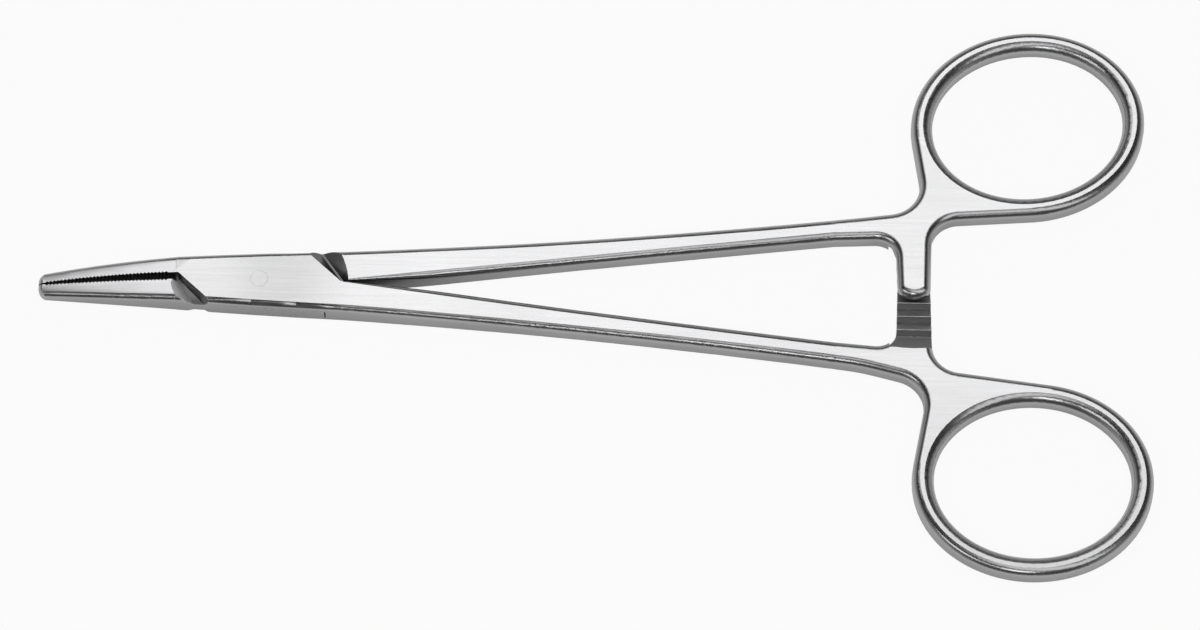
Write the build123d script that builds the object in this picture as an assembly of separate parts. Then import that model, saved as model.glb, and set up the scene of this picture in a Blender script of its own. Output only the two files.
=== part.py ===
"""Ring-handled needle holder with a box lock, about 16 cm long, in stainless steel.

Two forged and milled halves cross in a box lock and turn on one rivet.
The box half carries the upper jaw, the two plates of the box, and the lower shank and ring.
The tongue half carries the lower jaw, the flat tongue that passes through the box, and the
upper shank and ring. A ratchet on the facing arms holds the handles when they are squeezed.

Frame, in millimetres: X runs along the instrument, with the jaw tips at -X and the rings at +X.
Y runs across it, Z is up. The origin is on the pivot axis, in the plane that the box lies on.
The halves are drawn about the middle plane of the box and lifted by half its thickness at the end.
The instrument is drawn as it lies: tips nearly meeting, ratchet one step short of its first tooth.
"""
import os
from math import acos, atan2, cos, degrees, pi, radians, sin, sqrt, tan

from build123d import *

# Box lock
box_thickness = 4.0
box_edge_radius = 0.85
box_left = 12.0               # the jaws begin this far left of the pivot
box_right = 12.0              # the shanks begin this far right of the pivot
box_half_width = 4.3          # at the pivot
box_jaw_half_width = 3.58     # at the jaw end
box_shank_half_width = 4.83   # at the shank end
tongue_thickness = 1.6
tongue_play = 0.05            # running gap between the tongue and each plate
wall_play = 0.2               # gap between the tongue's edges and the ends of the slot

# Slanted ends of the two plates, and of the slot between them
crotch_inset = 0.3            # the corners beside the plates lie this far inside the box's ends
jaw_crotch_y = 0.8            # corner between the upper jaw and the plates
shank_crotch_y = -0.2         # corner between the lower shank and the plates
plate_end_angle = 43.0        # slant of the plate ends to X
slot_end_angle = 66.0         # slant of the slot's end walls to X
bevel_at_crotch = 0.35        # how far a plate's end slopes out towards the tongue
bevel_at_jaw_edge = 0.8
bevel_at_shank_edge = 1.7

# Shoulders of the tongue half, which rise from the tongue to its full thickness
jaw_foot_gap = 0.12           # foot of the jaw shoulder, past the box's end
jaw_foot_drop = 0.4           # and below the crotch
jaw_foot_bend_inset = 0.95    # the foot turns this far inside the box's end
jaw_foot_bend_drop = 1.42     # and this far below the crotch, away from the plate's end
jaw_foot_angle = 62.0         # slant of the foot to X past the bend
jaw_shoulder_start = 0.3      # full thickness is reached this far past the box's end at the crotch
jaw_shoulder_gap = 0.75       # and this far past it where the curved land edge begins
jaw_shoulder_drop = 1.75      # which is this far below the crotch
jaw_shoulder_run = 2.15       # the curve ends this far nearer to the pivot
jaw_shoulder_fall = 3.25      # and this much lower
jaw_shoulder_bulge = 0.5      # and bulges towards the tips
jaw_foot_fall = 3.98          # drop of the foot line beside that curve
shank_foot_gap = 0.4          # foot of the shank shoulder, past the box's end
shank_foot_angle = 54.5
shank_shoulder_gap = 0.87     # full thickness is reached this far past the box's end
shank_shoulder_lean = 0.33    # and nearer to the pivot across the shank, for each millimetre
shank_shoulder_bulge = 0.38   # its land edge curves away from the pivot
shank_shoulder_reach = 5.05   # across the shank

# Pivot rivet
pin_diameter = 2.5
pin_play = 0.03               # radial, in the tongue

# Jaws, drawn as one closed pair and then parted along the bite
jaw_length = 19.85            # from the box to the tips
jaw_tip_thickness = 2.2
jaw_tip_upper = 0.7           # upper outline at the tips, from the axis
jaw_tip_lower = 2.86          # lower outline there, below the axis
jaw_bow = 0.3                 # how much the upper outline bows out between its ends
jaw_crown = 0.2               # the faces are convex across
jaw_crown_run = 1.02          # the crown fades out just past the box, in jaw lengths
jaw_edge_radius = 0.85        # rounding of the long edges at the tips
nose_corner_radius = 1.5      # corners of the tips in the plan
nose_radius = 0.9             # rounding of the tips over their thickness
nose_lead = 0.5               # the jaws are drawn this much too long, then trimmed to the nose
nose_flare = 0.02             # the trimming tool widens faster than the jaws, for each millimetre
jaw_steps = 6                 # evenly spaced sections along the jaws
bite_tip_y = -1.2             # where the lower jaw bites at the tips
bite_root_y = -0.3            # and at the box
tip_gap = 0.2                 # the tips nearly meet
upper_bite_bow = 0.28         # the upper bite is hollow
lower_bite_bow = 0.15         # and the lower one bows out
serration_pitch = 0.52
serration_depth = 0.2
serration_start = 1.0         # plain length behind the tips
serration_end = 0.8           # plain length before the box

# Shanks
shank_length = 71.0           # from the box to the handles
shank_outer_end = 11.65       # outer edge at the handles, from the axis
shank_outer_sag = 0.535       # how far the outer edge bends inward between its ends
shank_land_end = 9.28         # inner edge of the flat land at the handles
shank_land_rise = 0.115       # how far that edge bends outward between its ends
shank_thinning = 35.0         # length over which the thickness of the box fades out
crotch_edge_radius = 0.12     # the inner edges start nearly sharp
crotch_edge_run = 16.0        # and are fully rounded this far from the box
shank_gap = 0.15              # between the two shanks where they leave the box
shank_steps = 14              # evenly spaced sections keep the long surfaces smooth
join_step = 0.005             # jaws and shanks lie this far inside the pieces they run out of

# Handles, each a neck, a ratchet arm and a finger ring
handle_thickness = 3.4
handle_edge_radius = 1.12
ring_hole_length = 28.1       # long diameter of the oval hole
ring_hole_width = 24.15
ring_wall = 3.1
ring_hole_edge_radius = 1.4
ring_lead = 10.82             # from the shanks' ends to the rings
upper_ring_rise = 1.125       # from the shank's outer edge to the ring, across the instrument
lower_ring_rise = 2.625
upper_ring_tilt = 14.5        # of the long diameter to X, up to the right
lower_ring_tilt = -3.0        # the same, with the lower handle mirrored to the upper side
upper_notch_lead = 12.85      # from the shank's end to the corner between its outer edge and the neck
lower_notch_lead = 13.3
upper_notch_rise = 1.75       # rise of the outer edge from the shank's end to that corner
lower_notch_rise = 3.0
notch_radius = 4.8
bend_lead = 3.4               # the outer edge runs straight this far past the shank's end
bend_radius = 34.0            # then bends gently towards the corner
arm_lead = 8.65               # from the shanks' ends to the arms
arm_width = 5.25
arm_lean = 0.25               # the arms narrow a little towards their ends
arm_end_bulge = 1.1           # they end in a shallow arc
arm_corner_radius = 1.3
upper_arm_end = 0.2           # corners of the upper arm's end, above the axis
lower_arm_reach = 1.2         # the lower arm reaches past the axis
upper_root_rise = 0.4         # rise of the inner edge from the shank's end to the arm
lower_root_rise = 0.75
root_radius = 2.9             # between shank and arm
upper_throat_gap = 1.175      # from the ring to the corner between it and the arm
lower_throat_gap = 2.075
throat_radius = 4.2

# Ratchet
ratchet_root_inset = 0.28     # the milling to half thickness ends this far inside the flat land
ratchet_root_bulge = 0.3
ratchet_left_margin = 1.0     # the milling runs past the arm's sides
ratchet_right_margin = 0.6
tooth_pitch = 2.16
tooth_height = 0.75
tooth_ramp = 1.4              # length of the gentle side
tooth_count = 3
upper_first_crest = 2.3       # crest of the first tooth, from the axis
lower_first_crest = 1.33
tooth_play = 0.1              # between crest and valley when engaged

# Cutting tools run this far past what they cut
cut_margin = 0.2
cut_reach = 8.0
handle_lead = 2.0             # the handles are drawn this much too long, then trimmed

# Values that follow
half_box = box_thickness / 2
half_handle = handle_thickness / 2
half_tongue = tongue_thickness / 2
half_slot = half_tongue + tongue_play
tip_x = -(box_left + jaw_length)
handle_x = box_right + shank_length
jaw_crotch = (crotch_inset - box_left, jaw_crotch_y)
shank_crotch = (box_right - crotch_inset, shank_crotch_y)
ring_long_radius = ring_hole_length / 2 + ring_wall
ring_short_radius = ring_hole_width / 2 + ring_wall
ring_centre_x = handle_x + ring_lead + ring_long_radius
upper_ring_y = shank_outer_end + upper_ring_rise + ring_short_radius
lower_ring_y = shank_outer_end + lower_ring_rise + ring_short_radius
arm_left = handle_x + arm_lead
arm_right = arm_left + arm_width
ratchet_root = shank_land_end - ratchet_root_inset
upper_wall_y = shank_crotch_y + shank_gap     # inner wall of the upper shank at the box


def mirrored(shape):
    """The same shape on the other side of the middle plane."""
    return mirror(shape, about=Plane.XY)


def prism(points, low, high):
    """Upright prism on a closed outline in the plan."""
    return Pos(0, 0, low) * extrude(make_face(Polyline(*points, close=True)), high - low)


def heading(start, angle, distance):
    """Point at a distance from start, in a direction given in degrees."""
    return (start[0] + distance * cos(radians(angle)), start[1] + distance * sin(radians(angle)))


# Jaws

def jaw_run(x):
    """How far along the jaws, 0 at the tips and 1 at the box."""
    return (x - tip_x) / jaw_length


def upper_outline(x):
    """Upper edge of the closed jaws."""
    run = jaw_run(x)
    return jaw_tip_upper + (box_jaw_half_width - jaw_tip_upper) * run + 4 * jaw_bow * run * (1 - run)


def lower_outline(x):
    """Lower edge of the closed jaws."""
    return -jaw_tip_lower - (box_jaw_half_width - jaw_tip_lower) * jaw_run(x)


def jaw_section(x):
    """Rounded and slightly crowned section across both jaws."""
    run = jaw_run(x)
    left, right = lower_outline(x) + join_step, upper_outline(x) - join_step
    middle = (left + right) / 2
    thick = (jaw_tip_thickness + (box_thickness - jaw_tip_thickness) * run) / 2 - join_step
    edge = thick - jaw_crown * sqrt(jaw_crown_run - run)
    front = ThreePointArc((left, edge), (middle, thick), (right, edge))
    back = ThreePointArc((right, -edge), (middle, -thick), (left, -edge))
    outline = make_face(Curve() + [front, Line(front @ 1, back @ 0), back, Line(back @ 1, front @ 0)])
    radius = jaw_edge_radius + (box_edge_radius - jaw_edge_radius) * run
    return Plane.YZ.offset(x) * fillet(outline.vertices(), radius)


def nose_section(run):
    """Rectangle around both jaws, run millimetres behind the tips."""
    upper_slope = (box_jaw_half_width - jaw_tip_upper + 4 * jaw_bow) / jaw_length + nose_flare
    lower_slope = (box_jaw_half_width - jaw_tip_lower) / jaw_length + nose_flare
    thickness = jaw_tip_thickness + (box_thickness - jaw_tip_thickness) * run / jaw_length
    half = thickness / 2 + nose_flare * run
    low, high = -jaw_tip_lower - lower_slope * run, jaw_tip_upper + upper_slope * run
    corners = Polyline((low, -half), (high, -half), (high, half), (low, half), close=True)
    return Plane.YZ.offset(tip_x + run) * make_face(corners)


def nose():
    """Tool that leaves the jaws with round tips."""
    block = loft([nose_section(0), nose_section(jaw_length + 1)], ruled=True)
    tip_faces = block.faces().sort_by(Axis.X)[0]
    corners = [edge for edge in tip_faces.edges() if abs(edge.tangent_at(0.5).Z) > 0.9]
    block = fillet(corners, nose_corner_radius)
    near = tip_x + 2 * nose_corner_radius
    rims = [edge for edge in block.edges()
            if abs(edge.tangent_at(0.5).Z) < 0.5 and edge.bounding_box().min.X < near]
    return fillet(rims, nose_radius)


def jaws():
    """The closed pair of jaws with round tips."""
    length = jaw_length + nose_lead
    body = loft([jaw_section(-box_left - length * step / jaw_steps) for step in range(jaw_steps, -1, -1)])
    return body & nose()


# Bite of the jaws

def lower_bite(x):
    """Bite of the lower jaw, bowed out a little between tip and box."""
    run = (x - tip_x) / (jaw_crotch[0] - tip_x)
    return bite_tip_y + (bite_root_y - bite_tip_y) * run + 4 * lower_bite_bow * run * (1 - run)


def upper_bite(x):
    """Bite of the upper jaw, hollow between tip and box, so that the tips meet first."""
    run = (x - tip_x) / (jaw_crotch[0] - tip_x)
    tip = bite_tip_y + tip_gap
    return tip + (jaw_crotch_y - tip) * run + 4 * upper_bite_bow * run * (1 - run)


def serrated(bite, into):
    """Points along a bite from beyond the tips to the box, with V teeth cut into the jaw."""
    first = tip_x + serration_start
    count = int((-box_left - serration_end - first) / serration_pitch)
    points = [(tip_x - 1, bite(tip_x)), (first, bite(first))]
    for tooth in range(count):
        valley = first + serration_pitch * (tooth + 0.5)
        crest = first + serration_pitch * (tooth + 1)
        points.append((valley, bite(valley) + into * serration_depth))
        points.append((crest, bite(crest)))
    return points


# Box lock

def box_block():
    """Envelope of the box lock, of both halves together."""
    upper = ThreePointArc((-box_left, box_jaw_half_width), (0, box_half_width),
                          (box_right, box_shank_half_width))
    lower = ThreePointArc((box_right, -box_shank_half_width), (0, -box_half_width),
                          (-box_left, -box_jaw_half_width))
    ends = [Line(upper @ 1, lower @ 0), Line(lower @ 1, upper @ 0)]
    block = extrude(make_face(Curve() + [upper, ends[0], lower, ends[1]]), half_box, both=True)
    long_edges = [edge for edge in block.edges() if edge.length > box_left]
    return fillet(long_edges, box_edge_radius)


def bulged(points, bulges):
    """Closed outline through points, with the sides named in bulges drawn as arcs of that height."""
    sides = []
    for side, (a, b) in enumerate(zip(points, points[1:] + points[:1])):
        if side in bulges:
            along = Vector(b[0] - a[0], b[1] - a[1])
            out = along.rotate(Axis.Z, -90).normalized() * bulges[side]
            sides.append(ThreePointArc(a, ((a[0] + b[0]) / 2 + out.X, (a[1] + b[1]) / 2 + out.Y), b))
        else:
            sides.append(Line(a, b))
    return make_face(Curve() + sides)


def sloping_cutter(foot, land, low, bulges=()):
    """Tool between a foot outline at one height and a land outline at the face of the box."""
    top = half_box + cut_margin
    grow = (top - low) / (half_box - low)
    past_land = [(f[0] + grow * (g[0] - f[0]), f[1] + grow * (g[1] - f[1])) for f, g in zip(foot, land)]
    low_face = Pos(0, 0, low) * make_face(Polyline(*foot, close=True))
    high_face = Pos(0, 0, top) * bulged(past_land, bulges)
    return loft([low_face, high_face], ruled=True)


def plate_end_cutter(crotch, side, edge_bevel):
    """Tool that frees a plate's slanted end: side is -1 at the jaws and 1 at the shanks."""
    slope = 90 - side * 90 + 180 - plate_end_angle
    outward = slope - 90
    run = (box_half_width - side * crotch[1]) / sin(radians(plate_end_angle))
    edge = heading(crotch, slope, run)
    land = [crotch, heading(crotch, slope, 2 * run)]
    foot_edge = heading(edge, outward, edge_bevel)
    foot_crotch = heading(crotch, outward, bevel_at_crotch)
    foot = [foot_crotch, tuple(2 * b - a for a, b in zip(foot_crotch, foot_edge))]
    beyond = side * 2 * cut_reach
    far_x = crotch[0] + side
    return sloping_cutter(foot + [(foot[1][0], beyond), (far_x, beyond)],
                          land + [(land[1][0], beyond), (far_x, beyond)], half_slot)


def slot_line(crotch, offset, height):
    """Point at a height on the line of a slot's end wall, shifted across it by an offset."""
    angle = radians(slot_end_angle)
    return (crotch[0] + offset / sin(angle) + (height - crotch[1]) / tan(angle), height)


def slot():
    """The slot between the plates, open at both edges of the box."""
    corners = [slot_line(jaw_crotch, 0, -cut_reach), slot_line(shank_crotch, 0, -cut_reach),
               slot_line(shank_crotch, 0, cut_reach), slot_line(jaw_crotch, 0, cut_reach)]
    return prism(corners, -half_slot, half_slot)


def box_half_lock(envelope):
    """Upper jaw, plates, and root of the lower shank."""
    under_jaw = serrated(upper_bite, 1) + [jaw_crotch, (jaw_crotch[0], -cut_reach), (tip_x - 1, -cut_reach)]
    over_shank = [shank_crotch, (box_right + 1, shank_crotch_y), (box_right + 1, cut_reach),
                  (shank_crotch[0], cut_reach)]
    tools = [prism(under_jaw, -cut_reach, cut_reach), prism(over_shank, -cut_reach, cut_reach), slot()]
    for tool in (plate_end_cutter(jaw_crotch, -1, bevel_at_jaw_edge),
                 plate_end_cutter(shank_crotch, 1, bevel_at_shank_edge)):
        tools += [tool, mirrored(tool)]
    return envelope - tools


def shoulder_recess():
    """Tool that thins the tongue half to its tongue, with a sloping shoulder at each end."""
    crotch_foot_y = jaw_crotch_y - jaw_foot_drop
    bend = (jaw_foot_bend_inset - box_left, jaw_crotch_y - jaw_foot_bend_drop)
    jaw_slope = sin(radians(jaw_foot_angle))
    jaw_foot_turn = heading(bend, -jaw_foot_angle, jaw_foot_fall / jaw_slope)
    jaw_foot_end = heading(bend, -jaw_foot_angle, (cut_reach + bend[1]) / jaw_slope)
    curve_start = (-box_left - jaw_shoulder_gap, jaw_crotch_y - jaw_shoulder_drop)
    curve_end = (curve_start[0] + jaw_shoulder_run, curve_start[1] - jaw_shoulder_fall)
    across = cut_reach - upper_wall_y
    shank_slope = sin(radians(shank_foot_angle))
    shank_foot = (box_right + shank_foot_gap, upper_wall_y)
    shank_foot_turn = heading(shank_foot, 180 - shank_foot_angle, shank_shoulder_reach / shank_slope)
    shank_foot_end = heading(shank_foot, 180 - shank_foot_angle, across / shank_slope)
    shank_land_x = box_right + shank_shoulder_gap
    corner = (curve_start[0] - 1, cut_reach)
    foot = [corner, (-box_left - jaw_foot_gap, crotch_foot_y), bend, jaw_foot_turn, jaw_foot_end,
            (shank_foot[0], -cut_reach), shank_foot, shank_foot_turn, shank_foot_end]
    land = [corner, (-box_left - jaw_shoulder_start, crotch_foot_y), curve_start, curve_end,
            (curve_end[0], -cut_reach), (shank_land_x, -cut_reach), (shank_land_x, upper_wall_y),
            (shank_land_x - shank_shoulder_lean * shank_shoulder_reach, upper_wall_y + shank_shoulder_reach),
            (shank_land_x - shank_shoulder_lean * across, cut_reach)]
    return sloping_cutter(foot, land, half_tongue, {2: jaw_shoulder_bulge, 6: shank_shoulder_bulge})


def tongue_half_lock(envelope):
    """Lower jaw, tongue, and root of the upper shank."""
    over_jaw = serrated(lower_bite, -1) + [slot_line(jaw_crotch, wall_play, bite_root_y),
                                           slot_line(jaw_crotch, wall_play, cut_reach),
                                           (tip_x - 1, cut_reach)]
    under_shank = [slot_line(shank_crotch, -wall_play, upper_wall_y), (box_right + 1, upper_wall_y),
                   (box_right + 1, -cut_reach), slot_line(shank_crotch, -wall_play, -cut_reach)]
    recess = shoulder_recess()
    tools = [prism(over_jaw, -cut_reach, cut_reach), prism(under_shank, -cut_reach, cut_reach)]
    return envelope - (tools + [recess, mirrored(recess)])


# Shanks

def shank_section(run, land_start):
    """Rounded section of an upper shank, run being 0 at the box and 1 at the handle."""
    along = run * shank_length
    outer = (box_shank_half_width + (shank_outer_end - box_shank_half_width) * run
             - 4 * shank_outer_sag * run * (1 - run) - join_step)
    land = (land_start + (shank_land_end - land_start) * run
            + 4 * shank_land_rise * run * (1 - run))
    fading = (1 + cos(pi * min(1, along / shank_thinning))) / 2
    half = half_handle + (half_box - half_handle) * fading - join_step
    radius = box_edge_radius + (handle_edge_radius - box_edge_radius) * run
    rounding = sin(pi / 2 * min(1, along / crotch_edge_run))
    inner_radius = crotch_edge_radius + (radius - crotch_edge_radius) * rounding
    inner = land - inner_radius + join_step
    face = make_face(Polyline((inner, -half), (outer, -half), (outer, half), (inner, half), close=True))
    face = fillet(face.vertices().sort_by(Axis.X)[:2], inner_radius)
    face = fillet(face.vertices().sort_by(Axis.X)[-2:], radius)
    return Plane.YZ.offset(box_right + along) * face


def upper_shank(wall_start):
    """Shank from the box to the handle, tapering in width and thickness."""
    runs = [step / shank_steps for step in range(shank_steps + 1)]
    return loft([shank_section(run, wall_start + crotch_edge_radius) for run in runs])


# Handles

def touch_angle(point, centre, tilt, radii, side):
    """Where a line from a point touches an ellipse, as the ellipse's own angle in degrees."""
    away = Vector(point[0] - centre[0], point[1] - centre[1]).rotate(Axis.Z, -tilt)
    x = away.X / radii[0]
    y = away.Y / radii[1]
    return degrees(atan2(y, x) + side * acos(1 / sqrt(x * x + y * y)))


def handle_outline(ring_centre, tilt, notch, throat, root_rise, arm_end):
    """Outline of neck, ratchet arm and ring in the plan."""
    radii = (ring_long_radius, ring_short_radius)
    start = touch_angle(throat, ring_centre, tilt, radii, 1)
    size = (touch_angle(notch, ring_centre, tilt, radii, -1) - start) % 360
    ring = EllipticalCenterArc(ring_centre, *radii, start_angle=start, arc_size=size, rotation=tilt)
    outer_slope = (shank_outer_end - box_shank_half_width + 4 * shank_outer_sag) / shank_length
    inner_end = shank_land_end - handle_edge_radius
    root = (arm_left, inner_end + root_rise)
    inner_slope = root_rise / (arm_left - handle_x)
    lead_x = handle_x - handle_lead
    outer_start = (lead_x, shank_outer_end - handle_lead * outer_slope)
    bend = (handle_x + bend_lead, shank_outer_end + bend_lead * outer_slope)
    inner_start = (lead_x, inner_end - handle_lead * inner_slope)
    right_end = (arm_right - arm_lean, arm_end)
    left_end = (arm_left + arm_lean, arm_end)
    middle_end = ((arm_left + arm_right) / 2, arm_end - arm_end_bulge)
    lines = [Line(outer_start, bend), Line(bend, notch), Line(notch, ring @ 1), ring, Line(ring @ 0, throat),
             Line(throat, right_end), ThreePointArc(right_end, middle_end, left_end),
             Line(left_end, root), Line(root, inner_start), Line(inner_start, outer_start)]
    face = make_face(Curve() + lines)
    corners = {bend: bend_radius, notch: notch_radius, throat: throat_radius, root: root_radius,
               right_end: arm_corner_radius, left_end: arm_corner_radius}
    for corner, radius in corners.items():
        face = fillet(face.vertices().sort_by_distance(corner)[0], radius)
    return face


def upper_handle(ring_y, tilt, notch_lead, notch_rise, throat_gap, root_rise, arm_end):
    """Neck, arm and ring with rounded edges, trimmed to where the shank ends."""
    centre = (ring_centre_x, ring_y)
    notch = (handle_x + notch_lead, shank_outer_end + notch_rise)
    throat = (arm_right, ring_y - ring_short_radius - throat_gap)
    outline = handle_outline(centre, tilt, notch, throat, root_rise, arm_end)
    hole = Pos(*centre) * Rot(0, 0, tilt) * Ellipse(ring_hole_length / 2, ring_hole_width / 2)
    blank = extrude(outline - hole, half_handle, both=True)
    rims = [edge for edge in blank.edges()
            if edge.center().X > handle_x - handle_lead / 2 and not edge.is_closed]
    rims = [edge for edge in rims if abs(edge.center().Z) > half_handle - cut_margin]
    rounded = fillet(rims, handle_edge_radius)
    rounded = fillet([edge for edge in rounded.edges() if edge.is_closed], ring_hole_edge_radius)
    lead = Pos(handle_x - handle_lead, 0, 0) * Box(2 * handle_lead, 8 * cut_reach, 2 * handle_thickness)
    return rounded - lead


def ratchet_cutter(arm_end, first_crest):
    """Tool that mills the near face of an arm down to its middle and leaves the teeth."""
    left = arm_left - ratchet_left_margin
    right = arm_right + ratchet_right_margin
    bottom = arm_end - cut_reach
    top = ratchet_root + ratchet_root_bulge
    root = ThreePointArc((left, ratchet_root), ((left + right) / 2, top), (right, ratchet_root))
    sides = Polyline(root @ 1, (right, bottom), (left, bottom), root @ 0)
    plan = extrude(make_face(Curve() + [root, sides]), handle_thickness, both=True)
    crest_z = (tooth_height - tooth_play) / 2
    valley_z = crest_z - tooth_height
    profile = [(bottom, handle_thickness), (bottom, valley_z), (first_crest - tooth_ramp, valley_z)]
    for tooth in range(tooth_count):
        crest = first_crest + tooth * tooth_pitch
        profile += [(crest, crest_z), (crest + tooth_pitch - tooth_ramp, valley_z)]
    profile += [(top, crest_z), (top, handle_thickness)]
    bar = Plane.YZ.offset(left) * make_face(Polyline(*profile, close=True))
    return plan & extrude(bar, right - left)


# The three pieces

def to_lower_side(shape):
    """The same shape on the other side of the axis."""
    return mirror(shape, about=Plane.XZ)


def make_halves():
    """The box half and the tongue half, about the middle plane."""
    envelope = jaws() + box_block()
    bore = Cylinder(pin_diameter / 2, 2 * box_thickness)
    tongue_bore = Cylinder(pin_diameter / 2 + pin_play, 2 * box_thickness)
    lower = upper_shank(-shank_crotch_y)
    lower += upper_handle(lower_ring_y, lower_ring_tilt, lower_notch_lead, lower_notch_rise,
                          lower_throat_gap, lower_root_rise, -lower_arm_reach)
    lower -= ratchet_cutter(-lower_arm_reach, lower_first_crest)
    upper = upper_shank(upper_wall_y)
    upper += upper_handle(upper_ring_y, upper_ring_tilt, upper_notch_lead, upper_notch_rise,
                          upper_throat_gap, upper_root_rise, upper_arm_end)
    upper -= mirrored(ratchet_cutter(upper_arm_end, upper_first_crest))
    recess = shoulder_recess()
    upper -= [recess, mirrored(recess)]
    box_half = box_half_lock(envelope) + to_lower_side(lower) - bore
    tongue_half = tongue_half_lock(envelope) + upper - tongue_bore
    return box_half, tongue_half


def main():
    """Build the pieces and write one file for each."""
    os.makedirs("parts", exist_ok=True)
    box_half, tongue_half = make_halves()
    pin = Cylinder(pin_diameter / 2, box_thickness)
    pieces = {"box_half": box_half, "tongue_half": tongue_half, "pivot_pin": pin}
    for name, piece in pieces.items():
        piece = Pos(0, 0, half_box) * piece
        size = piece.bounding_box().size
        print(f"{name}: {piece.volume:.1f} mm3, {size.X:.1f} x {size.Y:.1f} x {size.Z:.1f} mm")
        export_step(piece, f"parts/{name}.step")


main()
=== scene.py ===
# %% [markdown]
# # A ring-handled needle holder in satin steel
# The solids of this instrument were drawn in a CAD program, so its three pieces arrive here with
# their true shapes: the box half, the tongue half that passes through it, and the rivet.
# What is left to do in Blender is what a photographer's studio does: give the steel its finish,
# lay it on a pale table, and light it so that every ground face and rounded edge reads.

# %% Load the three pieces
from types import SimpleNamespace

import bpy
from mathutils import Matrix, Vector

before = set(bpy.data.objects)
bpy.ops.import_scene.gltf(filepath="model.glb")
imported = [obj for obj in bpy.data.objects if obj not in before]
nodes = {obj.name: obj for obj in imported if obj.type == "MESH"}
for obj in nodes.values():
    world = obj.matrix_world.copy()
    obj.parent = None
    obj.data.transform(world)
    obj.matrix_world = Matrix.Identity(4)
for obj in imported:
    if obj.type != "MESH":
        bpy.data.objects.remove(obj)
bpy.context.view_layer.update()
print("pieces:", sorted(nodes))

# %% [markdown]
# ## Working in millimetres
# Blender's unit here is the metre, but an instrument maker thinks in millimetres.
# One small constant keeps every size below readable in the maker's unit.

# %% A unit
MM = 0.001


def mm(*values):
    """A point or size given in millimetres, in metres."""
    return Vector([value * MM for value in values])


print("10 mm is", 10 * MM, "m")

# %% [markdown]
# ## The camera
# A long lens from above and in front shows the flat faces bright and still lets the eye see the
# thickness of the metal on the lower edges. The view leans 27 degrees away from straight down.
# The camera is aimed with a tracking quaternion, which keeps its horizon level.

# %% Place the camera
CAMERA_PLACE = mm(56.64, -395.60, 770.76)
CAMERA_AIM = mm(49.12, -3.97, 2.0)

camera_data = bpy.data.cameras.new("long_lens")
camera_data.sensor_width = 36.0
camera_data.lens = 180.0
camera_data.clip_start = 0.01
camera = bpy.data.objects.new("camera", camera_data)
bpy.context.scene.collection.objects.link(camera)
camera.location = CAMERA_PLACE
camera.rotation_mode = "QUATERNION"
camera.rotation_quaternion = (CAMERA_AIM - CAMERA_PLACE).to_track_quat("-Z", "Y")
bpy.context.scene.camera = camera
print("camera distance in mm:", round((CAMERA_AIM - CAMERA_PLACE).length / MM, 1))

# %% [markdown]
# ## Building node graphs
# A finish is a graph of small nodes. Building it by hand takes many repeated lines, so two
# helpers make one node and wire its inputs. An input may be a number or the output of another
# node, and feed() tells the two apart.

# %% Make and wire a node
def add_node(tree, kind, settings=None, **inputs):
    """Make one node, set its properties, and fill or wire its inputs by name."""
    node = tree.nodes.new(kind)
    for name, value in (settings or {}).items():
        setattr(node, name, value)
    for name, value in inputs.items():
        feed(tree, node.inputs[name.replace("_", " ")], value)
    return node


def feed(tree, socket, value):
    """Give a socket a plain value, or wire another node's output to it."""
    if isinstance(value, bpy.types.NodeSocket):
        tree.links.new(value, socket)
    else:
        socket.default_value = value


print("helpers for nodes: add_node, feed")

# %% [markdown]
# ## Arithmetic with nodes
# Everything below is made of four kinds of steps. math() adds or multiplies, ease() turns a
# measure into a share that rises smoothly from 0 to 1, spread() maps a share onto a range, and
# blend() mixes two numbers by a share.

# %% Steps of arithmetic
def math(tree, operation, first, second=0.0):
    """One arithmetic step on two numbers."""
    node = add_node(tree, "ShaderNodeMath", {"operation": operation})
    feed(tree, node.inputs[0], first)
    feed(tree, node.inputs[1], second)
    return node.outputs[0]


def ease(tree, value, start, end):
    """Smooth rise from 0 at start to 1 at end."""
    node = add_node(tree, "ShaderNodeMapRange", {"interpolation_type": "SMOOTHSTEP"})
    feed(tree, node.inputs["Value"], value)
    node.inputs["From Min"].default_value = start
    node.inputs["From Max"].default_value = end
    return node.outputs["Result"]


def spread(tree, value, low, high):
    """Map a number from 0..1 onto low..high."""
    node = add_node(tree, "ShaderNodeMapRange")
    feed(tree, node.inputs["Value"], value)
    feed(tree, node.inputs["To Min"], low)
    feed(tree, node.inputs["To Max"], high)
    return node.outputs["Result"]


def blend(tree, share, first, second):
    """Numbers mixed by a share: the first at 0 and the second at 1."""
    node = add_node(tree, "ShaderNodeMix", {"data_type": "FLOAT"})
    feed(tree, node.inputs["Factor"], share)
    feed(tree, node.inputs["A"], first)
    feed(tree, node.inputs["B"], second)
    return node.outputs["Result"]


print("steps of arithmetic: math, ease, spread, blend")

# %% [markdown]
# ## Two steps that come back often
# Most masks below ask whether a measure lies between two values. Most shades make a tone darker
# where such a mask is 1 and leave it alone elsewhere.

# %% Masks and shades
def between(tree, value, low, high, soft):
    """1 between two values and 0 outside, with soft ends."""
    rise = ease(tree, value, low - soft, low + soft)
    fall = ease(tree, value, high + soft, high - soft)
    return math(tree, "MULTIPLY", rise, fall)


def shaded(tree, tone, share, factor):
    """A tone that is multiplied by the factor where the share is 1."""
    return math(tree, "MULTIPLY", tone, blend(tree, share, 1.0, factor))


print("masks and shades: between, shaded")

# %% [markdown]
# ## Brush marks
# The flat lands were finished on an abrasive belt that ran along the instrument. Such marks are
# noise, pulled out very long in one direction. A coarse and a fine layer together look like a
# real belt finish: a few long streaks, with a fine hair between them.

# %% Streaks and grains
STREAK_ROUGHNESS = 0.6


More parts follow.
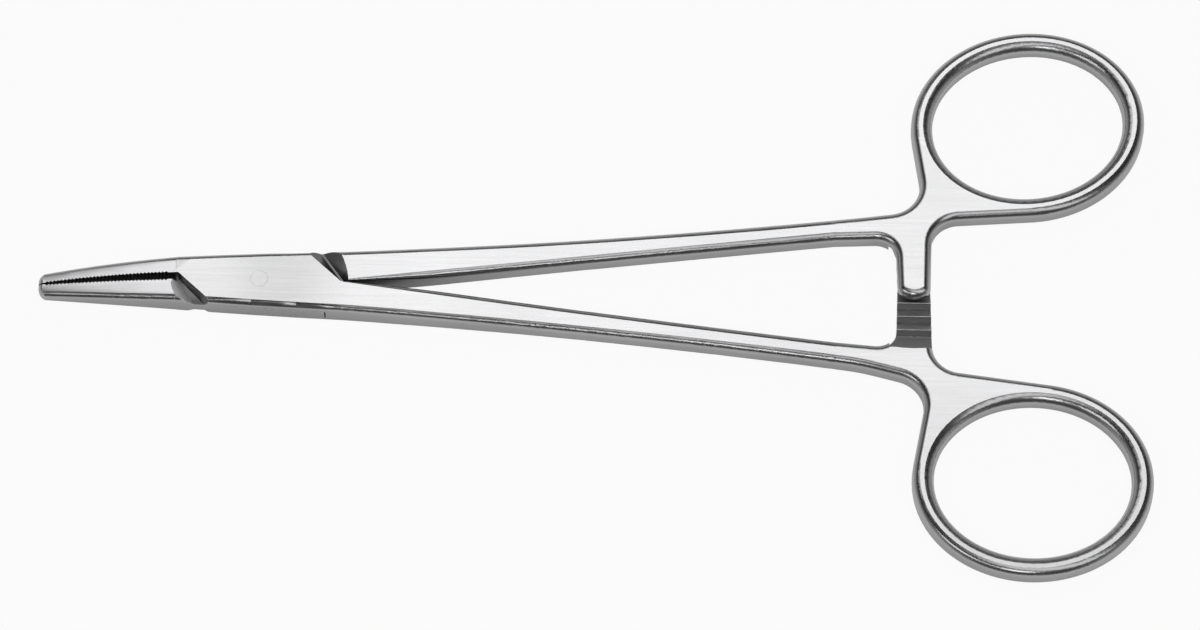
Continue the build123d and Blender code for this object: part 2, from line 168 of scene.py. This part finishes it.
def streaks(tree, place, length, width, detail):
    """Noise pulled out along X, with streaks about that long and wide in millimetres."""
    stretch = add_node(tree, "ShaderNodeMapping", Vector=place)
    stretch.inputs["Scale"].default_value = (1 / (length * MM), 1 / (width * MM), 1 / (width * MM))
    noise = add_node(tree, "ShaderNodeTexNoise", Vector=stretch.outputs["Vector"])
    noise.inputs["Scale"].default_value = 1.0
    noise.inputs["Detail"].default_value = detail
    noise.inputs["Roughness"].default_value = STREAK_ROUGHNESS
    return noise.outputs["Fac"]


def grain(tree, place, size, detail):
    """Even noise with grains of about that size in millimetres."""
    noise = add_node(tree, "ShaderNodeTexNoise", Vector=place)
    noise.inputs["Scale"].default_value = 1 / (size * MM)
    noise.inputs["Detail"].default_value = detail
    return noise.outputs["Fac"]


print("marks are drawn from noise, some of it stretched along the instrument")

# %% [markdown]
# ## One steel, five finishes
# The whole instrument is one steel, but its faces were worked in different ways: the lands on a
# fine belt, the jaws dulled so that they don't glare in use. The rounded flanks have the lands'
# roughness and about half their tone, a painted shade on the sides. The serrated bites are painted
# nearly black, a painted shade of the gap between the jaws, and the milled side of the ratchet is
# dark too.
# Tone is how much light the steel gives back, and roughness how much it blurs what it mirrors.

# %% Finishes of the steel
FINISHES = {
    "land": {"tone": 0.70, "roughness": 0.25},
    # flank: its lower tone is a painted shade on the sides
    "flank": {"tone": 0.36, "roughness": 0.25},
    "jaw": {"tone": 0.92, "roughness": 0.30},
    # bite: painted nearly black, a painted shade of the gap between the jaws
    "bite": {"tone": 0.015, "roughness": 0.5},
    "cut": {"tone": 0.40, "roughness": 0.34},
}
for finish, look in FINISHES.items():
    print(finish, "gives back", look["tone"], "of the light")

# %% [markdown]
# ## Reading a point of the surface
# One material can hold all of these finishes, if it knows which face it is on. Two things tell:
# where a point lies on the piece, and which way the face points there. Both are read in the
# piece's own coordinates, so a finish stays on its face when the handles open.

# %% Where a point is and how it lies
LAND_FLATNESS = (0.980, 0.9985)


def read_spot(tree):
    """What the masks ask about a point: its place, the way it faces, and how flat it lies."""
    where = add_node(tree, "ShaderNodeTexCoord")
    spot = SimpleNamespace(place=where.outputs["Object"])
    spot.x, spot.y, spot.z = add_node(tree, "ShaderNodeSeparateXYZ", Vector=spot.place).outputs
    facing = add_node(tree, "ShaderNodeSeparateXYZ", Vector=where.outputs["Normal"]).outputs
    spot.facing_x, spot.facing_y, spot.facing_z = facing
    spot.sideways = math(tree, "ABSOLUTE", spot.facing_y)
    spot.flatness = math(tree, "ABSOLUTE", spot.facing_z)
    spot.on_land = ease(tree, spot.flatness, *LAND_FLATNESS)
    return spot


print("a land is where the surface lies flatter than", LAND_FLATNESS[0])

# %% [markdown]
# ## The dulled jaws
# The dull finish of the upper jaw ends in a slanted line, beside the slanted end of the box. That
# of the lower jaw ends at its shoulder, which is further in. Only the faces of the jaws are
# dulled: where they turn down into the rounded flanks, the polish begins.

# %% Mask of the jaws
JAW_END = {"box_half": (-12.6, 1.2), "tongue_half": (-8.0, 0.0)}
JAW_CROTCH_Y = 0.8
JAW_END_SOFTNESS = 0.3
JAW_FLATNESS = (0.90, 0.985)


def jaw_share(tree, name, spot):
    """1 on the faces of the jaw of a half."""
    end, slant = JAW_END[name]
    line = math(tree, "SUBTRACT", spot.x, math(tree, "MULTIPLY", spot.y, slant))
    middle = end - slant * JAW_CROTCH_Y
    along = ease(tree, line, (middle + JAW_END_SOFTNESS) * MM, (middle - JAW_END_SOFTNESS) * MM)
    return math(tree, "MULTIPLY", along, ease(tree, spot.flatness, *JAW_FLATNESS))


print("the jaws are dulled from the tips to x =", JAW_END["box_half"][0], "mm")

# %% [markdown]
# ## The bites
# Each jaw bites with the side that faces the other jaw. On the box half that side points down
# the photograph, and on the tongue half it points up, so a sign for each half finds it.

# %% Mask of the bites
FACING_SIGN = {"box_half": -1.0, "tongue_half": 1.0}
BITE_END = -12.1
BITE_SOFTNESS = 0.1
BITE_FACING = (0.35, 0.6)


def bite_share(tree, name, spot):
    """1 on the serrated bite, which faces the other jaw."""
    towards = math(tree, "MULTIPLY", spot.facing_y, FACING_SIGN[name])
    behind = ease(tree, spot.x, (BITE_END + BITE_SOFTNESS) * MM, (BITE_END - BITE_SOFTNESS) * MM)
    return math(tree, "MULTIPLY", behind, ease(tree, towards, *BITE_FACING))


print("the bites end at x =", BITE_END, "mm")

# %% [markdown]
# ## The ratchet
# The two ratchet arms overlap, and each was milled to half its thickness on the side that meets
# the other. The lower arm shows its milled side to the camera, and the upper arm hides its own.

# %% Mask of the ratchet
RATCHET_X = (90.6, 97.6)
RATCHET_Y = (-9.15, 2.4)
RATCHET_SOFTNESS = 0.02
MILLED_FACING = (0.2, 0.4)


def within(tree, value, span, soft):
    """1 inside a span of millimetres, with soft ends."""
    return between(tree, value, span[0] * MM, span[1] * MM, soft * MM)


def ratchet_share(tree, name, spot):
    """1 on the milled side of the ratchet arm."""
    inside = math(tree, "MULTIPLY", within(tree, spot.x, RATCHET_X, RATCHET_SOFTNESS),
                  within(tree, spot.y, RATCHET_Y, RATCHET_SOFTNESS))
    near_face = math(tree, "MULTIPLY", spot.facing_z, -FACING_SIGN[name])
    return math(tree, "MULTIPLY", inside, ease(tree, near_face, *MILLED_FACING))


print("the ratchet is", round(RATCHET_X[1] - RATCHET_X[0], 1), "mm wide")

# %% [markdown]
# ## Laying the finishes over each other
# The ground layer is land or flank, by how flat the surface lies. Over it come the jaw, the bite
# and the milled ratchet, each where its mask is 1. The rivet has the ground layer alone.

# %% Mix the finishes by their masks
def finish_shares(tree, name, spot):
    """The share of each finish on a piece, in the order in which they cover each other."""
    if name not in JAW_END:
        return {}
    return {"jaw": jaw_share(tree, name, spot),
            "bite": bite_share(tree, name, spot),
            "cut": ratchet_share(tree, name, spot)}


def laid_over(tree, key, spot, shares):
    """One number of the finishes, mixed over the piece."""
    value = blend(tree, spot.on_land, FINISHES["flank"][key], FINISHES["land"][key])
    for finish, share in shares.items():
        value = blend(tree, share, value, FINISHES[finish][key])
    return value


print("ground layer:", "land or flank;", "over it:", "jaw, bite, cut")

# %% [markdown]
# ## The milled slopes of the box
# The plates of the box end in slanted bevels, and the tongue rises to full thickness over two
# shoulders. A cutter left these slopes, so they have their own roughness. Their tones are painted
# light and shade: the box's slopes and the tongue's slope at the shanks are painted dark, a
# painted shade, and the tongue's slope at the jaws is painted brighter than the lands, a painted
# light. Each half gives a pair, for the slope at the jaws and the one at the shanks.

# %% Slopes at both ends of the box
# tone pairs: painted shade on the dark slopes, painted light on the tongue's slope at the jaws
SLOPES = {
    "box_half": {"tone": (0.12, 0.16), "roughness": (0.34, 0.34)},
    "tongue_half": {"tone": (0.90, 0.26), "roughness": (0.60, 0.34)},
}
BOX_REACH = (-13.2, 13.2)
BOX_SOFTNESS = 0.05
SLANT_FACING = (0.2, 0.3)
SLOPE_FLATNESS = (0.15, 0.95)
SLOPE_SOFTNESS = 0.02


def slope_share(tree, spot):
    """1 on the sloping ends of the plates and the shoulders of the tongue."""
    slanted = ease(tree, math(tree, "ABSOLUTE", spot.facing_x), *SLANT_FACING)
    leaning = between(tree, spot.flatness, *SLOPE_FLATNESS, SLOPE_SOFTNESS)
    return math(tree, "MULTIPLY", within(tree, spot.x, BOX_REACH, BOX_SOFTNESS),
                math(tree, "MULTIPLY", slanted, leaning))


def over_slopes(tree, key, name, spot, slope, value):
    """One number of the finishes, with the slopes' own number laid over it."""
    at_shanks = ease(tree, spot.x, -1.0 * MM, 1.0 * MM)
    return blend(tree, slope, value, blend(tree, at_shanks, *SLOPES[name][key]))


print("slopes are looked for up to", BOX_REACH[1], "mm from the rivet")

# %% [markdown]
# ## Shade on the jaws
# The faces of the jaws fall away towards their outer edges, and are painted darker there, a
# painted shade. The edges are two straight lines, each given by its height at the tips and its
# slope. Past the jaws the same dull steel reaches a little onto the box, where it is less bright.

# %% Mask of the jaws' outer edges
JAW_TIP_X = -31.85
JAW_UPPER_EDGE = {"at_tip": 0.95, "slope": 0.136}
JAW_LOWER_EDGE = {"at_tip": -2.86, "slope": -0.036}
JAW_SIDE_WIDTH = (1.35, 0.35)


def edge_height(tree, x, edge):
    """Height across the instrument of one outer edge of the jaws, beside a point at x."""
    along = math(tree, "SUBTRACT", x, JAW_TIP_X * MM)
    rise = math(tree, "MULTIPLY", along, edge["slope"])
    return math(tree, "ADD", rise, edge["at_tip"] * MM)


def jaw_side_share(tree, spot):
    """1 beside the outer edges of the jaws, and 0 further in."""
    below_upper = math(tree, "SUBTRACT", edge_height(tree, spot.x, JAW_UPPER_EDGE), spot.y)
    above_lower = math(tree, "SUBTRACT", spot.y, edge_height(tree, spot.x, JAW_LOWER_EDGE))
    inside = math(tree, "MINIMUM", below_upper, above_lower)
    return ease(tree, inside, JAW_SIDE_WIDTH[0] * MM, JAW_SIDE_WIDTH[1] * MM)


print("the shade beside the jaws' edges is", JAW_SIDE_WIDTH[0], "mm wide")

# %% [markdown]
# ## Darker places of a half
# Five small shades are laid one after the other. Four are painted shade: on the crowned part of
# the jaws, beside their edges, on the steep sides of the ratchet teeth, and on the tongue deep
# inside the box, a painted shadow of the plates. The fifth dims the jaws' finish where it reaches
# the box.

# %% Shade a half
# CROWN and JAW_SIDE_SHADE: painted shade on the jaw faces that turn sideways and beside their edges
CROWN = {"facing": (0.01, 0.14), "shade": 0.62}
JAW_SIDE_SHADE = 0.60
ON_BOX = {"x": (-12.3, -11.8), "shade": 0.76}
# STEEP_TOOTH: painted shade on the steep sides of the ratchet teeth
STEEP_TOOTH = {"facing": (0.54, 0.62), "shade": 0.6}
# the tongue inside the box is painted dark, a painted shadow of the plates
TONGUE_SHADOW = {"z": (1.0, 3.0), "shade": 0.25}


def shaded_half(tree, spot, shares, tone):
    """The tone of a half with its painted shades and painted shadow."""
    jaw = shares["jaw"]
    # painted shade on the crowned faces of the jaws and beside their outer edges
    crowned = math(tree, "MULTIPLY", jaw, ease(tree, spot.sideways, *CROWN["facing"]))
    tone = shaded(tree, tone, crowned, CROWN["shade"])
    tone = shaded(tree, tone, math(tree, "MULTIPLY", jaw, jaw_side_share(tree, spot)), JAW_SIDE_SHADE)
    on_box = ease(tree, spot.x, ON_BOX["x"][0] * MM, ON_BOX["x"][1] * MM)
    tone = shaded(tree, tone, math(tree, "MULTIPLY", jaw, on_box), ON_BOX["shade"])
    # painted shade on the steep sides of the teeth
    steep = math(tree, "MULTIPLY", shares["cut"], ease(tree, spot.sideways, *STEEP_TOOTH["facing"]))
    tone = shaded(tree, tone, steep, STEEP_TOOTH["shade"])
    # painted shadow on the tongue inside the box
    deep = math(tree, "MULTIPLY", within(tree, spot.z, TONGUE_SHADOW["z"], BOX_SOFTNESS),
                within(tree, spot.x, BOX_REACH, BOX_SOFTNESS))
    return shaded(tree, tone, math(tree, "MULTIPLY", deep, spot.on_land), TONGUE_SHADOW["shade"])


print("the tongue keeps", TONGUE_SHADOW["shade"], "of its tone inside the box")

# %% [markdown]
# ## The box, a little darker
# The box is a little greyer than the shanks in the photograph, most of all to the right of the
# rivet. The shade covers all three pieces alike, so the rivet doesn't stand out.

# %% Shade the box
DARKER_BOX_X = (-3.0, 9.0)
DARKER_BOX_SOFTNESS = 5.0
DARKER_BOX_SHADE = 0.84


def shaded_box(tree, spot, tone):
    """The tone of a piece, a little darker around the rivet."""
    return shaded(tree, tone, within(tree, spot.x, DARKER_BOX_X, DARKER_BOX_SOFTNESS), DARKER_BOX_SHADE)


print("the box keeps", DARKER_BOX_SHADE, "of its tone")

# %% [markdown]
# ## Rounded edges with painted highlights
# No edge of a real instrument is perfectly sharp. Near an edge the tone is raised almost to
# white, a painted highlight, and the steel is smoother. The Bevel node bends the shading over each
# edge without changing the mesh.
# Where its direction and the face's own differ, an edge is near.

# %% Round and find the edges
EDGE_ROUNDING = 0.06
TOOTH_ROUNDING = 0.12
EDGE_TURN = (0.98, 0.88)


def rounded_edge(tree, shares):
    """The direction of the surface, rounded near edges, and how near an edge is, from 0 to 1."""
    radius = EDGE_ROUNDING * MM
    if shares:
        radius = blend(tree, shares["cut"], EDGE_ROUNDING * MM, TOOTH_ROUNDING * MM)
    rounded = add_node(tree, "ShaderNodeBevel", {"samples": 8}, Radius=radius).outputs["Normal"]
    face_way = add_node(tree, "ShaderNodeNewGeometry").outputs["Normal"]
    alike = add_node(tree, "ShaderNodeVectorMath", {"operation": "DOT_PRODUCT"})
    tree.links.new(rounded, alike.inputs[0])
    tree.links.new(face_way, alike.inputs[1])
    near = ease(tree, alike.outputs["Value"], *EDGE_TURN)
    turned = add_node(tree, "ShaderNodeMix", {"data_type": "VECTOR"}, Factor=near)
    tree.links.new(face_way, turned.inputs[4])
    tree.links.new(rounded, turned.inputs[5])
    return turned.outputs[1], near


print("edges are rounded by", EDGE_ROUNDING, "mm in the shading")

# %% [markdown]
# ## Where edges stay as they are
# The painted highlight is left off the bites, whose painted shade reaches their edges. The rivet
# was ground flush with the plates, so its rim doesn't show, and edges within a short distance of
# its axis are left out too.

# %% Leave out some edges
RIVET_RIM = (1.6, 1.9)


def wear_and_highlight(tree, spot, shares, near):
    """How much painted highlight and smoothness an edge gets, without the bites and the rivet's rim.
    """
    if shares:
        near = math(tree, "MULTIPLY", near, math(tree, "SUBTRACT", 1.0, shares["bite"]))
    level = add_node(tree, "ShaderNodeCombineXYZ", X=spot.x, Y=spot.y).outputs["Vector"]
    from_axis = add_node(tree, "ShaderNodeVectorMath", {"operation": "LENGTH"})
    tree.links.new(level, from_axis.inputs[0])
    beyond_rim = ease(tree, from_axis.outputs["Value"], RIVET_RIM[0] * MM, RIVET_RIM[1] * MM)
    return math(tree, "MULTIPLY", near, beyond_rim)


print("no wear within", RIVET_RIM[0], "mm of the rivet's axis")

# %% [markdown]
# ## Hollows
# The valleys between teeth and inner corners are painted darker, a painted shade of the hollows.
# The Ambient Occlusion node finds them: it tells how open the surroundings of a point are.

# %% Find the hollows
HOLLOW_REACH = 0.4
HOLLOW_OPENNESS = (0.70, 0.95)


def openness(tree):
    """1 on open surfaces and 0 in narrow hollows of the same piece."""
    look = {"samples": 8, "only_local": True}
    hollow = add_node(tree, "ShaderNodeAmbientOcclusion", look, Distance=HOLLOW_REACH * MM)
    return ease(tree, hollow.outputs["AO"], *HOLLOW_OPENNESS)


print("hollows are looked for within", HOLLOW_REACH, "mm")

# %% [markdown]
# ## The marks on the surface
# Belt marks are a mix of long and fine streaks. The dulled jaws have an even grain, the milled
# ratchet has short cutter marks, and a slow cloud makes the tone of the whole piece uneven.

# %% Draw the marks
FINE_SHARE = 0.45


def draw_marks(tree, place):
    """The belt marks, their fine layer, the dull grain and the slow cloud."""
    long_marks = streaks(tree, place, 14.0, 0.32, 4.0)
    fine_marks = streaks(tree, place, 5.0, 0.09, 3.0)
    return SimpleNamespace(belt=blend(tree, FINE_SHARE, long_marks, fine_marks), fine=fine_marks,
                           dull=grain(tree, place, 0.12, 3.0), cloud=grain(tree, place, 16.0, 1.0))


print("share of the fine belt marks:", FINE_SHARE)

# %% [markdown]
# ## Tone
# The tone comes from the finishes and their shades, most of them painted shade. Marks, cloud and
# the painted shade of the hollows then change it a little, and the painted highlights on edges
# are laid on last, because they are the brightest.

# %% Work out the tone
# the tone of the painted highlight on edges
EDGE_HIGHLIGHT_TONE = 0.98
BELT_TONE = (0.80, 1.18)
CLOUD_TONE = (0.86, 1.12)
HOLLOW_SHADE_TONE = 0.45


def tone_of(tree, name, spot, shares, slope, marks, open_share, worn_and_highlit):
    """How much light the steel gives back."""
    tone = laid_over(tree, "tone", spot, shares)
    if shares:
        tone = over_slopes(tree, "tone", name, spot, slope, tone)
        tone = shaded_half(tree, spot, shares, tone)
    tone = shaded_box(tree, spot, tone)
    tone = shaded(tree, tone, spot.on_land, spread(tree, marks.belt, *BELT_TONE))
    tone = math(tree, "MULTIPLY", tone, spread(tree, marks.cloud, *CLOUD_TONE))
    # painted shade in the hollows
    tone = math(tree, "MULTIPLY", tone, spread(tree, open_share, HOLLOW_SHADE_TONE, 1.0))
    # the painted highlight on edges
    return blend(tree, worn_and_highlit, tone, EDGE_HIGHLIGHT_TONE)


print("worn edges give back", EDGE_HIGHLIGHT_TONE, "of the light")

# %% [markdown]
# ## Roughness
# The belt left the lands a little uneven in roughness too. Worn edges are smoother than the
# faces beside them, so they catch the lamps as thin bright lines.

# %% Work out the roughness
EDGE_ROUGHNESS = 0.18
BELT_ROUGHNESS = 0.05
CLOUD_ROUGHNESS = 0.02


def roughness_of(tree, name, spot, shares, slope, marks, worn_and_highlit):
    """How much the steel blurs what it mirrors."""
    roughness = laid_over(tree, "roughness", spot, shares)
    if shares:
        roughness = over_slopes(tree, "roughness", name, spot, slope, roughness)
    belt = spread(tree, marks.fine, -BELT_ROUGHNESS, BELT_ROUGHNESS)
    roughness = math(tree, "ADD", roughness, blend(tree, spot.on_land, 0.0, belt))
    cloud = spread(tree, marks.cloud, -CLOUD_ROUGHNESS, CLOUD_ROUGHNESS)
    roughness = math(tree, "ADD", roughness, cloud)
    return blend(tree, worn_and_highlit, roughness, EDGE_ROUGHNESS)


print("worn edges have a roughness of", EDGE_ROUGHNESS)

# %% [markdown]
# ## Relief
# The marks are scratches a few thousandths of a millimetre deep, so they also bend the light.
# They fade out towards the polished flanks, whose reflections keep clean edges.

# %% Press the marks into the surface
BELTED_FLATNESS = (0.9, 0.999)
RELIEF_STRENGTH = 0.30
RELIEF_DEPTH = 0.004


def relief_of(tree, spot, shares, marks, rounded):
    """The direction of the surface with its marks pressed in."""
    relief = blend(tree, ease(tree, spot.flatness, *BELTED_FLATNESS), 0.5, marks.belt)
    if shares:
        relief = blend(tree, shares["jaw"], relief, marks.dull)
        cutter_marks = streaks(tree, spot.place, 3.0, 0.16, 3.0)
        relief = blend(tree, shares["cut"], relief, cutter_marks)
    bump = add_node(tree, "ShaderNodeBump", Height=relief, Normal=rounded)
    bump.inputs["Strength"].default_value = RELIEF_STRENGTH
    bump.inputs["Distance"].default_value = RELIEF_DEPTH * MM
    return bump.outputs["Normal"]


print("marks are", RELIEF_DEPTH, "mm deep")

# %% [markdown]
# ## Putting the steel together
# The steel of a piece is one material: a metal whose colour, roughness and direction come from
# the functions above. Stainless steel is very slightly blue, so the blue part of its colour is a
# touch brighter than the red and the green.

# %% Make the steel
BLUE_TINT = 1.012


def steel(name):
    """The instrument's steel, with its finishes laid where this piece has them."""
    material = bpy.data.materials.new("satin_steel_" + name)
    material.use_nodes = True
    tree = material.node_tree
    shader = tree.nodes["Principled BSDF"]
    spot = read_spot(tree)
    shares = finish_shares(tree, name, spot)
    slope = slope_share(tree, spot) if shares else None
    marks = draw_marks(tree, spot.place)
    open_share = openness(tree)
    rounded, near = rounded_edge(tree, shares)
    worn_and_highlit = math(tree, "MULTIPLY", wear_and_highlight(tree, spot, shares, near), open_share)
    tone = tone_of(tree, name, spot, shares, slope, marks, open_share, worn_and_highlit)
    blue = math(tree, "MULTIPLY", tone, BLUE_TINT)
    colour = add_node(tree, "ShaderNodeCombineColor", Red=tone, Green=tone, Blue=blue)
    feed(tree, shader.inputs["Base Color"], colour.outputs["Color"])
    feed(tree, shader.inputs["Roughness"], roughness_of(tree, name, spot, shares, slope, marks, worn_and_highlit))
    feed(tree, shader.inputs["Normal"], relief_of(tree, spot, shares, marks, rounded))
    shader.inputs["Metallic"].default_value = 1.0
    return material


for name, piece in nodes.items():
    finish = steel(name)
    piece.data.materials.clear()
    piece.data.materials.append(finish)
    print(name, "wears", finish.name, "with", len(finish.node_tree.nodes), "nodes")

# %% [markdown]
# ## The table
# A plain table fills the view. It lies a hair's breadth below the instrument, so that the two
# faces don't fight for the same place.

# %% Lay the table
TABLE_SIZE = 6.0
TABLE_DROP = 0.02

table_mesh = bpy.data.meshes.new("table")
half = TABLE_SIZE / 2
table_mesh.from_pydata([(-half, -half, 0), (half, -half, 0), (half, half, 0), (-half, half, 0)],
                       [], [(0, 1, 2, 3)])
table = bpy.data.objects.new("table", table_mesh)
table.location.z = -TABLE_DROP * MM
bpy.context.scene.collection.objects.link(table)
print("table:", TABLE_SIZE, "m square, just under the instrument")

# %% [markdown]
# ## White paint for the table
# The paint is ordinary matt white for the light that bounces off it. Seen directly, or mirrored
# in the steel, most of it is plain white, and the rest still takes the lamps, so that the soft
# shadow beside the instrument stays. Close to the steel the mirrored white is dimmed, a painted
# shadow that draws the dark foot of the side walls.

# %% Paint the table
WHITE_SHARE = 0.93
CONTACT_REACH = 5.0
CONTACT_WHITE = 0.15

table_paint = bpy.data.materials.new("table_white")
table_paint.use_nodes = True
tree = table_paint.node_tree
matt = tree.nodes["Principled BSDF"]
matt.inputs["Base Color"].default_value = (0.9, 0.9, 0.9, 1.0)
matt.inputs["Roughness"].default_value = 0.9
matt.inputs["Specular IOR Level"].default_value = 0.1
ray = add_node(tree, "ShaderNodeLightPath")
seen = math(tree, "MAXIMUM", ray.outputs["Is Camera Ray"], ray.outputs["Is Glossy Ray"])
seen = math(tree, "MAXIMUM", seen, ray.outputs["Is Transmission Ray"])
# painted shadow: the white that the steel mirrors is dimmed close to the steel
near_steel = add_node(tree, "ShaderNodeAmbientOcclusion", {"samples": 8}, Distance=CONTACT_REACH * MM)
mirrored = spread(tree, near_steel.outputs["AO"], CONTACT_WHITE, 1.0)
strength = blend(tree, ray.outputs["Is Camera Ray"], mirrored, 1.0)
plain_white = add_node(tree, "ShaderNodeEmission", Color=(1.0, 1.0, 1.0, 1.0), Strength=strength)
mixed = add_node(tree, "ShaderNodeMixShader")
feed(tree, mixed.inputs[0], math(tree, "MULTIPLY", seen, WHITE_SHARE))
feed(tree, mixed.inputs[1], matt.outputs["BSDF"])
feed(tree, mixed.inputs[2], plain_white.outputs["Emission"])
feed(tree, tree.nodes["Material Output"].inputs["Surface"], mixed.outputs["Shader"])
table_mesh.materials.append(table_paint)
print("of what the camera sees of the table,", WHITE_SHARE, "is plain white")

# %% [markdown]
# ## The studio
# Steel shows what stands around it. The overhead box hangs where the flat lands mirror it for
# the camera, so they look nearly white. Two boxes in front draw thin bright lines along the
# rounded lower edges, and a tall one on the right lights the sides that face it.

# %% Hang the lights
STUDIO_AIM = mm(49, -3, 2)


def soft_box(name, place, width, height, power):
    """A rectangular lamp that faces the instrument."""
    lamp = bpy.data.lights.new(name, "AREA")
    lamp.shape = "RECTANGLE"
    lamp.size = width
    lamp.size_y = height
    lamp.energy = power
    holder = bpy.data.objects.new(name, lamp)
    bpy.context.scene.collection.objects.link(holder)
    holder.location = place
    holder.rotation_mode = "QUATERNION"
    holder.rotation_quaternion = (STUDIO_AIM - place).to_track_quat("-Z", "Y")
    holder.visible_camera = False
    print(name, "at", [round(value, 3) for value in place], "m, power", power)


soft_box("overhead_box", mm(42, 360, 665), 0.50, 0.25, 0.61)
soft_box("front_box", mm(62, -450, 495), 0.16, 0.17, 0.42)
soft_box("front_left_box", mm(-330, -345, 570), 0.38, 0.20, 0.66)
soft_box("right_box", mm(275, -180, 640), 0.27, 0.70, 1.0)

# %% [markdown]
# ## The room
# The world behind the lamps is grey: dim overhead, pale at the back horizon, and dark at the
# front one. The dim parts give the dark lines between the bright ones, and the pale part lights
# the rounded edges that face the back.

# %% Paint the room
TOP_GREY = 0.03
FRONT_GREY = 0.12
BACK_GREY = 0.80
FRONT_TO_BACK = (-0.95, -0.25)
HORIZON_TO_TOP = (0.0, 0.75)

world = bpy.data.worlds.new("studio")
bpy.context.scene.world = world
world.use_nodes = True
tree = world.node_tree
direction = add_node(tree, "ShaderNodeTexCoord").outputs["Generated"]
towards = add_node(tree, "ShaderNodeSeparateXYZ", Vector=direction).outputs
low_grey = blend(tree, ease(tree, towards["Y"], *FRONT_TO_BACK), FRONT_GREY, BACK_GREY)
grey = blend(tree, ease(tree, towards["Z"], *HORIZON_TO_TOP), low_grey, TOP_GREY)
colour = add_node(tree, "ShaderNodeCombineColor", Red=grey, Green=grey, Blue=grey)
feed(tree, tree.nodes["Background"].inputs["Color"], colour.outputs["Color"])
tree.nodes["Background"].inputs["Strength"].default_value = 1.0
print("room greys, top, front, back:", TOP_GREY, FRONT_GREY, BACK_GREY)

# %% [markdown]
# ## Showing colours as they are
# The Standard view keeps a grey of one half at one half, so the pale table stays pale.

# %% Choose the view
bpy.context.scene.view_settings.view_transform = "Standard"
print("view:", bpy.context.scene.view_settings.view_transform)
